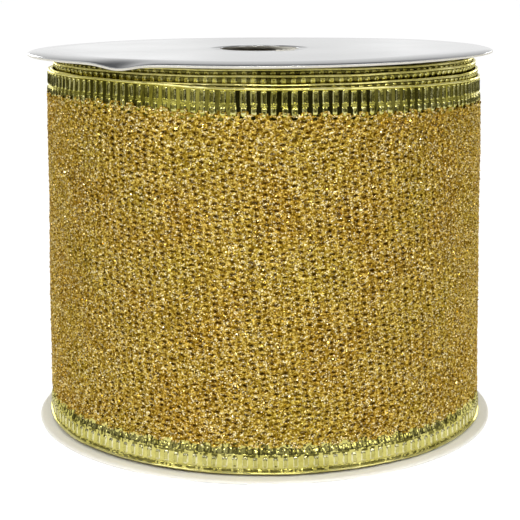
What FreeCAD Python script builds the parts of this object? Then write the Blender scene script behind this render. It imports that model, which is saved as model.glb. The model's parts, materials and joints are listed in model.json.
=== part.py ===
import FreeCAD, Part
import os
import math

# Ribbon spool: a wired mesh ribbon wound on a hollow card spool.
# Millimetres, +Z up along the spindle hole, origin at the centre of the underside.

# ---------------------------------------------------------------- driving sizes
FLANGE_R = 41.5          # outer radius of both round card ends
HOLE_R = 7.0             # spindle hole punched through both card ends
CARD_T = 0.65            # coated board of each end
FILM_T = 0.10            # clear gloss film laminated on the outer face
OVERALL_H = 66.7         # height over both ends

TUBE_RO = 28.0           # spiral-wound kraft core, outside
TUBE_WALL = 1.2
BEAD_LEG = 1.2           # fillet of hot-melt between tube and card end

RIBBON_W = 62.5          # ribbon width, edge to edge (2.5 in nominal)
BAND_W = 4.7             # foil selvedge at each edge
WEB_T = 0.40             # thickness of the web and of the flat of the selvedge
HEM_R = 0.35             # rolled hem that hides the edge wire
WIRE_R = 0.22            # edge wire
WIRE_PLAY = 0.03         # wire lies loose in its hem

PITCH = 0.85             # radial build of one turn
OUTER_C = 38.75          # mid radius of the outermost turn
OUTER_TOP = 63.5         # upper edge of the outermost turn
SECOND_TOP = 64.1        # the turns inside it stand higher, telescoped
THIRD_TOP = 65.1
INNER_TOP = 65.75
INNER_TURNS = 10

TACK_T = 0.10            # tape that holds the ribbon's inner end on the core
TACK_W = 34.0
TACK_DEG = 44.0

# The last part of the outermost turn is the free tail, behind the roll.
TAIL_START = 62.0        # degrees counter-clockwise from +X, where it peels from
TAIL_SEG_DEG = 25.0
TAIL_SEGS = 3
SEAM = 0.30              # clearance between neighbouring lengths of the tail
TAIL_RISE = 0.05         # tail sits clear of the lower card end

TAPE_T = 0.08            # clear tape over the tail's end
TAPE_W = 15.0
TAPE_ON = 9.0            # degrees of tape on the tail
TAPE_OFF = 8.0           # degrees of tape past its end
TAPE_GAP = 0.02
TAPE_CLEAR = 0.32          # clearance of its overhang above the fixed turn

V = FreeCAD.Vector
Z = V(0, 0, 1)
O = V(0, 0, 0)

os.makedirs("parts", exist_ok=True)


def save(shape, name):
    shape.exportStep("parts/" + name + ".step")
    print(name, "solids", len(shape.Solids), "volume", round(shape.Volume, 2), "valid", shape.isValid())


def ring(r0, r1, z0, z1):
    outer = Part.makeCylinder(r1, z1 - z0, V(0, 0, z0))
    inner = Part.makeCylinder(r0, z1 - z0 + 2, V(0, 0, z0 - 1))
    return outer.cut(inner)


def rect_face(r0, r1, z0, z1):
    p = [V(r0, 0, z0), V(r1, 0, z0), V(r1, 0, z1), V(r0, 0, z1), V(r0, 0, z0)]
    return Part.Face(Part.makePolygon(p))


def disc_face(rc, zc, r):
    return Part.Face(Part.Wire(Part.makeCircle(r, V(rc, 0, zc), V(0, 1, 0))))


def turn(face, a0, a1):
    """Revolve a section lying in the XZ plane from angle a0 to a1, degrees."""
    if a1 - a0 >= 359.999:
        s = face.revolve(O, Z, 360.0)
    else:
        s = face.revolve(O, Z, a1 - a0)
        s.rotate(O, Z, a0)
    return s


def clean(s):
    if s.ShapeType != "Solid" and len(s.Solids) == 1:
        s = s.Solids[0]
    if s.Volume < 0:
        s.reverse()
    return s


def band_section(rc, z_in, z_rim, up):
    """Flat selvedge from z_in towards the rim, ending in a rolled hem with a
    channel for the wire. up is +1 for the upper edge, -1 for the lower."""
    zc = z_rim - up * HEM_R
    half = WEB_T / 2
    zj = zc - up * math.sqrt(HEM_R * HEM_R - half * half)
    a, b = V(rc - half, 0, z_in), V(rc - half, 0, zj)
    c, d = V(rc + half, 0, zj), V(rc + half, 0, z_in)
    outline = Part.Wire([
        Part.makeLine(a, b),
        Part.Arc(b, V(rc, 0, zc + up * HEM_R), c).toShape(),
        Part.makeLine(c, d),
        Part.makeLine(d, a),
    ])
    sec = Part.Face(outline).cut(disc_face(rc, zc, WIRE_R + WIRE_PLAY))
    return sec.Faces[0], zc


def lap(rc, top, a0, a1):
    """One length of ribbon at mid radius rc: web, two selvedges and two wires."""
    bot = top - RIBBON_W
    web = turn(rect_face(rc - WEB_T / 2, rc + WEB_T / 2, bot + BAND_W, top - BAND_W), a0, a1)
    hi, zh = band_section(rc, top - BAND_W, top, +1)
    lo, zl = band_section(rc, bot + BAND_W, bot, -1)
    return {
        "mesh": clean(web),
        "top_band": clean(turn(hi, a0, a1)),
        "bottom_band": clean(turn(lo, a0, a1)),
        "top_wire": clean(turn(disc_face(rc, zh, WIRE_R), a0, a1)),
        "bottom_wire": clean(turn(disc_face(rc, zl, WIRE_R), a0, a1)),
    }


# ---------------------------------------------------------------- card spool
z_low_card = FILM_T
z_low_top = FILM_T + CARD_T
z_high_card = OVERALL_H - FILM_T - CARD_T
z_high_top = OVERALL_H - FILM_T

save(ring(HOLE_R, FLANGE_R, 0.0, FILM_T), "bottom_flange_film")
save(ring(HOLE_R, FLANGE_R, z_low_card, z_low_top), "bottom_flange_card")
save(ring(HOLE_R, FLANGE_R, z_high_card, z_high_top), "top_flange_card")
save(ring(HOLE_R, FLANGE_R, z_high_top, OVERALL_H), "top_flange_film")

tube_ri = TUBE_RO - TUBE_WALL
save(ring(tube_ri, TUBE_RO, z_low_top, z_high_card), "core_tube")


def bead(z_face, up):
    p = [V(tube_ri, 0, z_face), V(tube_ri, 0, z_face + up * BEAD_LEG),
         V(tube_ri - 0.45 * BEAD_LEG, 0, z_face + up * 0.45 * BEAD_LEG),
         V(tube_ri - BEAD_LEG, 0, z_face), V(tube_ri, 0, z_face)]
    return clean(turn(Part.Face(Part.makePolygon(p)), 0, 360))


save(bead(z_low_top, +1), "bottom_glue_bead")
save(bead(z_high_card, -1), "top_glue_bead")

mid = 0.5 * (z_low_top + z_high_card)
tack = turn(rect_face(TUBE_RO, TUBE_RO + TACK_T, mid - TACK_W / 2, mid + TACK_W / 2),
            200.0, 200.0 + TACK_DEG)
save(clean(tack), "ribbon_start_tape")

# ---------------------------------------------------------------- inner pack of turns
inner_radii = [OUTER_C - PITCH * (3 + k) for k in range(INNER_TURNS)]
pack_ri = inner_radii[-1] - HEM_R
pack_ro = inner_radii[0] + HEM_R
in_bot = INNER_TOP - RIBBON_W
save(ring(pack_ri, pack_ro, in_bot + BAND_W, INNER_TOP - BAND_W), "inner_windings_mesh")


def pack_band(z0, z1, z_wire):
    sec = rect_face(pack_ri, pack_ro, z0, z1)
    holes = [disc_face(r, z_wire, WIRE_R + WIRE_PLAY) for r in inner_radii]
    sec = sec.cut(Part.makeCompound(holes))
    body = clean(turn(sec.Faces[0], 0, 360))
    wires = [clean(turn(disc_face(r, z_wire, WIRE_R), 0, 360)) for r in inner_radii]
    return body, Part.makeCompound(wires)


band, wires = pack_band(INNER_TOP - BAND_W, INNER_TOP, INNER_TOP - HEM_R)
save(band, "inner_windings_top_band")
save(wires, "inner_windings_top_wire")
band, wires = pack_band(in_bot, in_bot + BAND_W, in_bot + HEM_R)
save(band, "inner_windings_bottom_band")
save(wires, "inner_windings_bottom_wire")

# ---------------------------------------------------------------- telescoped turns
for name, rc, top in (("third", OUTER_C - 2 * PITCH, THIRD_TOP),
                      ("second", OUTER_C - PITCH, SECOND_TOP)):
    for part, shape in lap(rc, top, 0, 360).items():
        save(shape, name + "_winding_" + part)

# outermost turn: from the tail's root, right round the front, to the tail's end
seam_deg = math.degrees(SEAM / OUTER_C)
tail_end = TAIL_START + TAIL_SEGS * TAIL_SEG_DEG
for part, shape in lap(OUTER_C, OUTER_TOP, tail_end + seam_deg, TAIL_START + 360.0 - seam_deg).items():
    save(shape, "outer_winding_" + part)

# ---------------------------------------------------------------- free tail
for k in range(TAIL_SEGS):
    a0 = TAIL_START + k * TAIL_SEG_DEG
    a1 = a0 + TAIL_SEG_DEG - (seam_deg if k < TAIL_SEGS - 1 else 0.0)
    label = ("tail_root_", "tail_middle_", "tail_end_")[k]
    for part, shape in lap(OUTER_C, OUTER_TOP + TAIL_RISE, a0, a1).items():
        save(shape, label + part)

# it lies on the tail, then steps up to stay clear of the fixed turn beyond it
tape_r = OUTER_C + WEB_T / 2 + TAPE_GAP
tape_r2 = OUTER_C + WEB_T / 2 + TAPE_CLEAR
zt = 0.5 * (2 * OUTER_TOP - RIBBON_W) + 2.0
z0, z1 = zt - TAPE_W / 2, zt + TAPE_W / 2
step = tail_end - 0.6
tape = turn(rect_face(tape_r, tape_r + TAPE_T, z0, z1), tail_end - TAPE_ON, step)
riser = turn(rect_face(tape_r, tape_r2 + TAPE_T, z0, z1), step - 0.15, step)
over = turn(rect_face(tape_r2, tape_r2 + TAPE_T, z0, z1), step - 0.15, tail_end + TAPE_OFF)
save(clean(tape.fuse([riser, over]).removeSplitter()), "closure_tape")
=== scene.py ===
import bpy
import json
import math
import numpy as np
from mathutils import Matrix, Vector


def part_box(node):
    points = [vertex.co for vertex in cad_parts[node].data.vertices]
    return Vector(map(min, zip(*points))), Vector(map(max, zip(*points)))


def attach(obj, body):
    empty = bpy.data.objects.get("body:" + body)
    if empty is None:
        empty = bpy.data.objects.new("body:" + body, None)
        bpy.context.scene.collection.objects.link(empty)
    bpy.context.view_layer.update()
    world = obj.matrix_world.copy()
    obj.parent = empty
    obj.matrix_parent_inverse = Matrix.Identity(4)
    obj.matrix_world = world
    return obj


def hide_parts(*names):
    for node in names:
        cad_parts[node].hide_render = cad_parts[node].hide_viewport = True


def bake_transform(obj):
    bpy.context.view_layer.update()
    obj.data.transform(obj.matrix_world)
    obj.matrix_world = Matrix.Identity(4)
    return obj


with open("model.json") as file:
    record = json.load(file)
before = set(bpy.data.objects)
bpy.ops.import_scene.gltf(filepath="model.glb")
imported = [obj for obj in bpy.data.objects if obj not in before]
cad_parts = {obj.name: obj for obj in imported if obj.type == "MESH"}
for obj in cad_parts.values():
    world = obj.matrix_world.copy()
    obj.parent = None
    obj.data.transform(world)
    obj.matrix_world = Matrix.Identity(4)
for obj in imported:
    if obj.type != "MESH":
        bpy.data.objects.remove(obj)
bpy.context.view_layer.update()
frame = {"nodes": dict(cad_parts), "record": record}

RNG = np.random.default_rng(771)

# ------------------------------------------------------------------ sizes, in mm, from the frame
def mm(v):
    return [1000.0 * c for c in v]

f_lo, f_hi = (mm(p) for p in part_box("top_flange_film"))
FL_R, TOP_Z = f_hi[0], f_hi[2]
c_lo, c_hi = (mm(p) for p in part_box("top_flange_card"))
TOP_UNDER = c_lo[2]
b_lo, b_hi = (mm(p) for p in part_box("bottom_flange_card"))
BOT_UPPER = b_hi[2]
HOLE_R = [m for m in frame["record"]["mounts"] if m["name"] == "spindle_bore"][0]["dims"]["r_mm"]
TUBE_R = mm(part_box("core_tube")[1])[0]

PHI_END = 137.0      # azimuth of the tail's cut end
TURN = 0.85          # radial build of one turn
R_END = 39.10        # ribbon mid radius at the cut end
WIDTH = 62.3         # ribbon, edge to edge
NCOL = 150           # bars and mesh columns in one turn
DPSI = 360.0 / NCOL
PZ = 0.985           # mesh row pitch
WEB0, ROWS = 3.95, 54

# rim height against winding angle, 0 at the cut end and growing inwards
Z_PSI = [-20, 0, 60, 137, 227, 317, 400, 497, 525, 545, 587, 677, 760, 857, 885, 947, 1037, 1120, 1217, 1250, 1307, 1360, 1400, 9000]
Z_RIM = [63.15, 63.15, 63.15, 63.22, 63.42, 63.74, 63.85, 63.58, 63.58, 63.68, 63.72, 63.95, 64.7, 64.88, 64.93, 64.98, 65.16, 65.4, 65.38, 65.62, 65.95, 65.85, 65.55, 65.5]
# the outermost turn's upper part is squeezed down (+) or drawn up (-) by this much
SQ_PSI = [95, 120, 137, 146, 160, 170, 182, 190, 206, 218, 236, 246, 254, 262, 276, 285, 308, 335]
SQ_MM = [0, 0.60, 0.98, 0.98, 0.84, 0.68, 0.55, 0.48, 0.34, 0.22, 0.14, -0.02, -0.22, -0.34, -0.42, -0.27, -0.10, 0]
# the inner turns' rims flare outwards at the two sides
FLARE_PSI = [466, 492, 520, 552, 587, 640, 665, 680, 700, 725, 826, 852, 880, 915, 950, 990, 1035, 1060, 1085, 1186, 1212, 1240, 1275, 1307, 1350, 1395, 1420, 1445]
FLARE_MM = [0, 0.42, 0.48, 0.28, 0, 0.12, 0.36, 0.38, 0.28, 0, 0, 0.86, 0.95, 0.50, 0.12, 0.25, 0.80, 0.80, 0, 0, 1.20, 1.25, 0.65, 0.20, 0.3, 1.0, 1.0, 0]
WS_PSI = [95, 146, 165, 182, 206, 227, 250, 266, 280, 300, 330]
WS_MM = [0, 0.52, 0.40, 0.25, 0.18, 0.05, 0.0, -0.26, -0.26, 0.0, 0.0]
FL_H = [0, 1.5, 4.5, 13.5, 22.5, 31.5, 41, 50.5, 57.0, 60.0, 62.3]
FL_O = [-0.50, -0.48, -0.28, -0.02, -0.02, 0.12, 0.34, 0.50, 0.66, 0.88, 1.02]


def zrim(psi):
    return np.interp(psi, Z_PSI, Z_RIM) + 0.035 * np.sin(np.radians(psi) * 7.3 + 0.4) + 0.02 * np.sin(np.radians(psi) * 19.0)


def radius(psi, h):
    r = R_END - TURN * psi / 360.0 + np.interp(h, FL_H, FL_O)
    a = np.radians(psi)
    r = r + 0.07 * np.sin(a * 5.0 + 0.9 + 0.05 * h) * np.sin(h * 0.09 + 1.0)
    r = r + 0.045 * np.sin(a * 11.0 + h * 0.16) + 0.03 * np.sin(a * 23.0 - h * 0.11 + 2.0)
    return r


def smooth01(x):
    x = np.clip(x, 0.0, 1.0)
    return x * x * (3 - 2 * x)


def lean(psi, h):
    """The mesh columns lean a little; not in the tail."""
    return -0.1 * (h - 31.0) / 38.8 * 57.3 * smooth01((psi - 100.0) / 60.0) * smooth01((h - 4.0) / 6.0) * smooth01((58.0 - h) / 6.0)


def place(psi, h, off):
    phi = np.radians(PHI_END - psi)
    r = radius(psi, h) + off + np.interp(psi, FLARE_PSI, FLARE_MM) * (1 - smooth01((h - 0.4) / 2.3))
    squeeze = np.interp(psi, SQ_PSI, SQ_MM) * (1 - smooth01((h - 6.0) / 40.0))
    return np.stack([r * np.cos(phi), r * np.sin(phi), zrim(psi) - h - squeeze], -1)


def web_shift(psi, h):
    """Where the outermost turn's mesh starts and ends between the two selvedges."""
    return h + np.interp(psi, WS_PSI, WS_MM) * (1 - smooth01((h - 4.0) / 16.0)) + 0.42 * smooth01((h - 30.0) / 27.0)


# ------------------------------------------------------------------ mesh helpers
def add_mesh(name, co_mm, faces, mats, smooth=True, mat_index=None, uv=None, attr=None):
    """co_mm (n,3); faces (m,k) array or list of such arrays."""
    if not isinstance(faces, list):
        faces = [faces]
    faces = [np.asarray(f, np.int64) for f in faces if len(f)]
    me = bpy.data.meshes.new(name)
    nv = len(co_mm)
    me.vertices.add(nv)
    me.vertices.foreach_set("co", (np.asarray(co_mm, float) * 0.001).astype(np.float32).ravel())
    loops = np.concatenate([f.ravel() for f in faces])
    sizes = np.concatenate([np.full(len(f), f.shape[1]) for f in faces])
    starts = np.concatenate([[0], np.cumsum(sizes)[:-1]])
    me.loops.add(len(loops))
    me.loops.foreach_set("vertex_index", loops.astype(np.int32))
    me.polygons.add(len(sizes))
    me.polygons.foreach_set("loop_start", starts.astype(np.int32))
    me.polygons.foreach_set("loop_total", sizes.astype(np.int32))
    if mat_index is not None:
        me.polygons.foreach_set("material_index", np.asarray(mat_index, np.int32))
    me.update(calc_edges=True)
    me.validate(clean_customdata=False)
    me.polygons.foreach_set("use_smooth", np.full(len(me.polygons), smooth))
    for m in mats:
        me.materials.append(m)
    if uv is not None:
        lay = me.uv_layers.new(name="OFBake")
        lay.data.foreach_set("uv", np.asarray(uv, np.float32)[loops].ravel())
    if attr is not None:
        a = me.color_attributes.new("tone", "FLOAT_COLOR", "POINT")
        a.data.foreach_set("color", np.asarray(attr, np.float32).ravel())
    ob = bpy.data.objects.new(name, me)
    bpy.context.scene.collection.objects.link(ob)
    return ob


def cyl_uv(co, u0=None, u1=None, z0=None, z1=None):
    """A cylinder's unrolled layout, scaled to fill the tile."""
    a = np.unwrap(np.arctan2(co[:, 1], co[:, 0]))
    a = np.arctan2(co[:, 1], co[:, 0])
    ref = math.atan2(co[:, 1].mean(), co[:, 0].mean())
    a = (a - ref + math.pi) % (2 * math.pi)
    z = co[:, 2]
    u = (a - a.min()) / max(a.max() - a.min(), 1e-9)
    v = (z - z.min()) / max(z.max() - z.min(), 1e-9)
    return np.stack([0.01 + 0.98 * u, 0.01 + 0.98 * v], -1)


def grid_faces(nu, nv, wrap_u=False):
    """Quads of a grid whose vertices run v fastest."""
    iu = np.arange(nu if wrap_u else nu - 1)
    iv = np.arange(nv - 1)
    a, b = np.meshgrid(iu, iv, indexing="ij")
    a2 = (a + 1) % nu
    return np.stack([a * nv + b, a2 * nv + b, a2 * nv + b + 1, a * nv + b + 1], -1).reshape(-1, 4)


# ------------------------------------------------------------------ node helpers
def new_mat(name):
    m = bpy.data.materials.new(name)
    m.use_nodes = True
    nt = m.node_tree
    bsdf = nt.nodes["Principled BSDF"]
    return m, nt, bsdf


def node(nt, kind, **kw):
    n = nt.nodes.new(kind)
    for k, v in kw.items():
        if k.startswith("in_"):
            n.inputs[k[3:].replace("_", " ")].default_value = v
        else:
            setattr(n, k, v)
    return n


def ramp(nt, fac, stops):
    r = nt.nodes.new("ShaderNodeValToRGB")
    e = r.color_ramp.elements
    while len(e) < len(stops):
        e.new(0.5)
    for el, (p, c) in zip(e, stops):
        el.position = p
        el.color = (*c, 1.0) if len(c) == 3 else c
    nt.links.new(fac, r.inputs["Fac"])
    return r.outputs["Color"]


def objco(nt):
    return nt.nodes.new("ShaderNodeTexCoord").outputs["Object"]


def noise(nt, co, scale, detail=4.0, rough=0.55, dist=0.0):
    n = node(nt, "ShaderNodeTexNoise")
    n.inputs["Scale"].default_value = scale
    n.inputs["Detail"].default_value = detail
    n.inputs["Roughness"].default_value = rough
    n.inputs["Distortion"].default_value = dist
    nt.links.new(co, n.inputs["Vector"])
    return n


def bump(nt, height, strength, distance, into):
    b = node(nt, "ShaderNodeBump")
    b.inputs["Strength"].default_value = strength
    b.inputs["Distance"].default_value = distance
    nt.links.new(height, b.inputs["Height"])
    nt.links.new(b.outputs["Normal"], into.inputs["Normal"])
    return b


def mix(nt, fac, a, b, mode="MIX"):
    m = nt.nodes.new("ShaderNodeMix")
    m.data_type = "RGBA"
    m.blend_type = mode
    for s, v in ((m.inputs[0], fac), (m.inputs[6], a), (m.inputs[7], b)):
        if hasattr(v, "is_output"):
            nt.links.new(v, s)
        elif isinstance(v, (int, float)):
            s.default_value = v
        else:
            s.default_value = (*v, 1.0)
    return m.outputs[2]


# ------------------------------------------------------------------ materials
def yarn_material(name, lo, mid, hi, rough=(0.28, 0.56), metallic=0.98):
    m, nt, b = new_mat(name)
    co = objco(nt)
    patch = noise(nt, co, 95.0, 3.0)
    fine = noise(nt, co, 2600.0, 5.0, 0.7)
    cell = node(nt, "ShaderNodeTexVoronoi")
    cell.inputs["Scale"].default_value = 4800.0
    nt.links.new(co, cell.inputs["Vector"])
    c1 = ramp(nt, fine.outputs["Fac"], [(0.40, lo), (0.50, mid), (0.61, hi)])
    c2 = ramp(nt, patch.outputs["Fac"], [(0.36, (0.93, 0.86, 0.72)), (0.50, (1, 1, 1)), (0.66, (0.96, 1.0, 0.90))])
    base = mix(nt, 1.0, c1, c2, "MULTIPLY")
    sep = nt.nodes.new("ShaderNodeSeparateColor")
    nt.links.new(cell.outputs["Color"], sep.inputs["Color"])
    spark = ramp(nt, sep.outputs["Red"], [(0.88, (0, 0, 0)), (0.93, (1, 1, 1))])
    base = mix(nt, spark, base, (1.0, 0.90, 0.54))
    nt.links.new(base, b.inputs["Base Color"])
    rr = ramp(nt, cell.outputs["Distance"], [(0.0, (rough[0],) * 3), (0.6, (rough[1],) * 3)])
    nt.links.new(rr, b.inputs["Roughness"])
    b.inputs["Metallic"].default_value = metallic
    b.inputs["Specular Tint"].default_value = (1.0, 0.84, 0.50, 1.0)
    hsum = mix(nt, 0.5, fine.outputs["Fac"], sep.outputs["Green"])
    bump(nt, hsum, 1.0, 0.00016, b)
    return m


YARN = yarn_material("gold_yarn_outer", (0.14, 0.070, 0.002), (0.39, 0.245, 0.014), (0.90, 0.69, 0.17))
# painted light: a lighter copy of the yarn for the second turn, which lies in shade under the outer net
YARN_IN_PAINTED_LIGHT = yarn_material("gold_yarn_inner_painted_light", (0.32, 0.165, 0.006), (0.57, 0.335, 0.022), (0.78, 0.52, 0.08), (0.40, 0.66), 0.88)
# painted shade: a darker, less metallic copy of the yarn for the turns deep under the outer ones
YARN_DEEP_PAINTED_SHADE = yarn_material("gold_yarn_deep_painted_shade", (0.10, 0.055, 0.006), (0.22, 0.13, 0.02), (0.36, 0.23, 0.05), (0.5, 0.75), 0.5)


def flake_material():
    m, nt, b = new_mat("glitter_flakes")
    at = node(nt, "ShaderNodeAttribute", attribute_name="tone")
    co = objco(nt)
    n = noise(nt, co, 1800.0, 2.0)
    tint = ramp(nt, n.outputs["Fac"], [(0.35, (0.86, 0.78, 0.60)), (0.65, (1, 1, 1))])
    nt.links.new(mix(nt, 1.0, at.outputs["Color"], tint, "MULTIPLY"), b.inputs["Base Color"])
    rr = ramp(nt, n.outputs["Fac"], [(0.3, (0.10,) * 3), (0.7, (0.26,) * 3)])
    nt.links.new(rr, b.inputs["Roughness"])
    b.inputs["Metallic"].default_value = 1.0
    b.inputs["Specular Tint"].default_value = (1.0, 0.88, 0.58, 1.0)
    return m


FLAKE = flake_material()


def foil_material(name, lo, mid, hi, rough=(0.10, 0.24), bumpy=0.35):
    m, nt, b = new_mat(name)
    co = objco(nt)
    broad = noise(nt, co, 160.0, 3.0)
    fine = noise(nt, co, 1500.0, 4.0, 0.6, 0.6)
    col = ramp(nt, broad.outputs["Fac"], [(0.34, lo), (0.5, mid), (0.68, hi)])
    tint = ramp(nt, fine.outputs["Fac"], [(0.32, (0.86, 0.84, 0.72)), (0.6, (1, 1, 1))])
    nt.links.new(mix(nt, 1.0, col, tint, "MULTIPLY"), b.inputs["Base Color"])
    rr = ramp(nt, fine.outputs["Fac"], [(0.3, (rough[0],) * 3), (0.75, (rough[1],) * 3)])
    nt.links.new(rr, b.inputs["Roughness"])
    b.inputs["Metallic"].default_value = 1.0
    b.inputs["Specular Tint"].default_value = (1.0, 0.96, 0.62, 1.0)
    bump(nt, fine.outputs["Fac"], bumpy, 0.00006, b)
    return m


FOIL = foil_material("foil_selvedge", (0.40, 0.36, 0.045), (0.50, 0.455, 0.075), (0.60, 0.55, 0.13), (0.05, 0.10), 0.06)
# painted highlight: a lighter copy of the foil for the rolled hem
RIM_PAINTED_HIGHLIGHT = foil_material("foil_rim_painted_highlight", (0.60, 0.555, 0.18), (0.75, 0.70, 0.28), (0.88, 0.83, 0.44), (0.06, 0.12), 0.06)
# painted shade: a dark copy of the selvedge foil, put face by face in the creases, gaps and notches
FOIL_PAINTED_SHADE = foil_material("foil_painted_shade", (0.085, 0.075, 0.012), (0.15, 0.135, 0.03), (0.26, 0.24, 0.07), (0.14, 0.30), 0.50)
# painted light: a lighter copy of the foil for the inner turns' selvedges
FOIL_IN_PAINTED_LIGHT = foil_material("foil_selvedge_inner_painted_light", (0.53, 0.49, 0.10), (0.66, 0.60, 0.15), (0.77, 0.71, 0.24), (0.06, 0.12), 0.08)
# painted shade: a darker copy of the foil for the bar faces and the crease between the rows
BAR_PAINTED_SHADE = foil_material("foil_bars_painted_shade", (0.21, 0.195, 0.032), (0.275, 0.255, 0.052), (0.36, 0.335, 0.09), (0.16, 0.30), 0.55)
# painted light: a lighter copy of the foil for the bottom selvedge
FOIL_LOW_PAINTED_LIGHT = foil_material("foil_selvedge_bottom_painted_light", (0.46, 0.42, 0.10), (0.58, 0.535, 0.155), (0.70, 0.65, 0.24), (0.06, 0.12), 0.10)
# painted shade: a darker copy of the bottom foil for the bar faces
BAR_LOW_PAINTED_SHADE = foil_material("foil_bars_bottom_painted_shade", (0.38, 0.35, 0.09), (0.50, 0.465, 0.145), (0.62, 0.58, 0.22), (0.14, 0.26), 0.50)
# painted highlight: lighter copies of the foil for the bars' outlines, top and bottom
EDGE_PAINTED_HIGHLIGHT = foil_material("foil_bar_edges_painted_highlight", (0.48, 0.45, 0.15), (0.60, 0.57, 0.23), (0.72, 0.69, 0.34), (0.18, 0.30), 0.10)
EDGE_LOW_PAINTED_HIGHLIGHT = foil_material("foil_bar_edges_bottom_painted_highlight", (0.62, 0.59, 0.30), (0.72, 0.69, 0.40), (0.82, 0.79, 0.52), (0.18, 0.30), 0.10)
# painted light: a lighter copy of the bar foil for the inner turns
BAR_IN_PAINTED_LIGHT = foil_material("foil_bars_inner_painted_light", (0.38, 0.35, 0.07), (0.52, 0.48, 0.11), (0.66, 0.61, 0.19), (0.16, 0.30), 0.50)


def wire_material():
    m, nt, b = new_mat("edge_wire_steel")
    co = objco(nt)
    n = noise(nt, co, 900.0, 3.0)
    nt.links.new(ramp(nt, n.outputs["Fac"], [(0.35, (0.50, 0.47, 0.36)), (0.65, (0.66, 0.62, 0.48))]), b.inputs["Base Color"])
    nt.links.new(ramp(nt, n.outputs["Fac"], [(0.35, (0.24,) * 3), (0.65, (0.38,) * 3)]), b.inputs["Roughness"])
    b.inputs["Metallic"].default_value = 1.0
    bump(nt, n.outputs["Fac"], 0.2, 0.00004, b)
    return m


WIRE = wire_material()


def card_material(name, face, dark, gloss=False):
    m, nt, b = new_mat(name)
    co = objco(nt)
    big = noise(nt, co, 45.0, 3.0)
    fib = noise(nt, co, 1400.0, 5.0, 0.65)
    c = ramp(nt, big.outputs["Fac"], [(0.36, dark), (0.62, face)])
    t = ramp(nt, fib.outputs["Fac"], [(0.30, (0.955, 0.955, 0.95)), (0.6, (1, 1, 1))])
    nt.links.new(mix(nt, 1.0, c, t, "MULTIPLY"), b.inputs["Base Color"])
    if gloss:
        nt.links.new(ramp(nt, big.outputs["Fac"], [(0.3, (0.055,) * 3), (0.7, (0.10,) * 3)]), b.inputs["Roughness"])
        b.inputs["Metallic"].default_value = 0.94
        bump(nt, big.outputs["Fac"], 0.05, 0.0004, b)
    else:
        nt.links.new(ramp(nt, fib.outputs["Fac"], [(0.3, (0.55,) * 3), (0.7, (0.72,) * 3)]), b.inputs["Roughness"])
        bump(nt, fib.outputs["Fac"], 0.35, 0.00005, b)
    return m


FILM = card_material("gloss_film_white", (0.93, 0.94, 0.94), (0.90, 0.91, 0.915), gloss=True)
CARD = card_material("white_card", (0.925, 0.905, 0.825), (0.90, 0.875, 0.79))
CUT = card_material("card_cut_edge", (0.72, 0.70, 0.62), (0.64, 0.61, 0.53))


def kraft_material():
    m, nt, b = new_mat("kraft_core")
    co = objco(nt)
    fib = noise(nt, co, 900.0, 6.0, 0.7)
    big = noise(nt, co, 60.0, 3.0)
    sep = nt.nodes.new("ShaderNodeSeparateXYZ")
    nt.links.new(co, sep.inputs[0])
    ang = node(nt, "ShaderNodeMath", operation="ARCTAN2")
    nt.links.new(sep.outputs["Y"], ang.inputs[0])
    nt.links.new(sep.outputs["X"], ang.inputs[1])
    turn = node(nt, "ShaderNodeMath", operation="MULTIPLY")
    nt.links.new(ang.outputs[0], turn.inputs[0])
    turn.inputs[1].default_value = 0.009
    rise = node(nt, "ShaderNodeMath", operation="ADD")
    nt.links.new(sep.outputs["Z"], rise.inputs[0])
    nt.links.new(turn.outputs[0], rise.inputs[1])
    saw = node(nt, "ShaderNodeMath", operation="PINGPONG")
    nt.links.new(rise.outputs[0], saw.inputs[0])
    saw.inputs[1].default_value = 0.0283
    lap = ramp(nt, saw.outputs[0], [(0.0, (0.55, 0.5, 0.45)), (0.012, (1, 1, 1)), (1.0, (1, 1, 1))])
    c = ramp(nt, fib.outputs["Fac"], [(0.28, (0.36, 0.26, 0.16)), (0.55, (0.55, 0.42, 0.28)), (0.8, (0.66, 0.53, 0.38))])
    c = mix(nt, 1.0, c, lap, "MULTIPLY")
    c = mix(nt, big.outputs["Fac"], c, mix(nt, 1.0, c, (0.9, 0.88, 0.86), "MULTIPLY"))
    nt.links.new(c, b.inputs["Base Color"])
    nt.links.new(ramp(nt, fib.outputs["Fac"], [(0.3, (0.75,) * 3), (0.7, (0.92,) * 3)]), b.inputs["Roughness"])
    bump(nt, fib.outputs["Fac"], 0.5, 0.0001, b)
    return m


KRAFT = kraft_material()


def glue_material():
    m, nt, b = new_mat("hot_melt")
    co = objco(nt)
    n = noise(nt, co, 420.0, 3.0)
    nt.links.new(ramp(nt, n.outputs["Fac"], [(0.35, (0.66, 0.52, 0.26)), (0.65, (0.82, 0.72, 0.46))]), b.inputs["Base Color"])
    nt.links.new(ramp(nt, n.outputs["Fac"], [(0.35, (0.22,) * 3), (0.65, (0.38,) * 3)]), b.inputs["Roughness"])
    b.inputs["Subsurface Weight"].default_value = 0.15
    bump(nt, n.outputs["Fac"], 0.5, 0.0003, b)
    return m


GLUE = glue_material()


def crepe_material():
    m, nt, b = new_mat("crepe_tape")
    co = objco(nt)
    w = node(nt, "ShaderNodeTexWave")
    w.bands_direction = "Z"
    w.inputs["Scale"].default_value = 900.0
    w.inputs["Distortion"].default_value = 6.0
    w.inputs["Detail"].default_value = 3.0
    nt.links.new(co, w.inputs["Vector"])
    nt.links.new(ramp(nt, w.outputs["Fac"], [(0.2, (0.66, 0.60, 0.44)), (0.8, (0.82, 0.77, 0.62))]), b.inputs["Base Color"])
    nt.links.new(ramp(nt, w.outputs["Fac"], [(0.2, (0.6,) * 3), (0.8, (0.8,) * 3)]), b.inputs["Roughness"])
    bump(nt, w.outputs["Fac"], 0.6, 0.00008, b)
    return m


CREPE = crepe_material()


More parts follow.
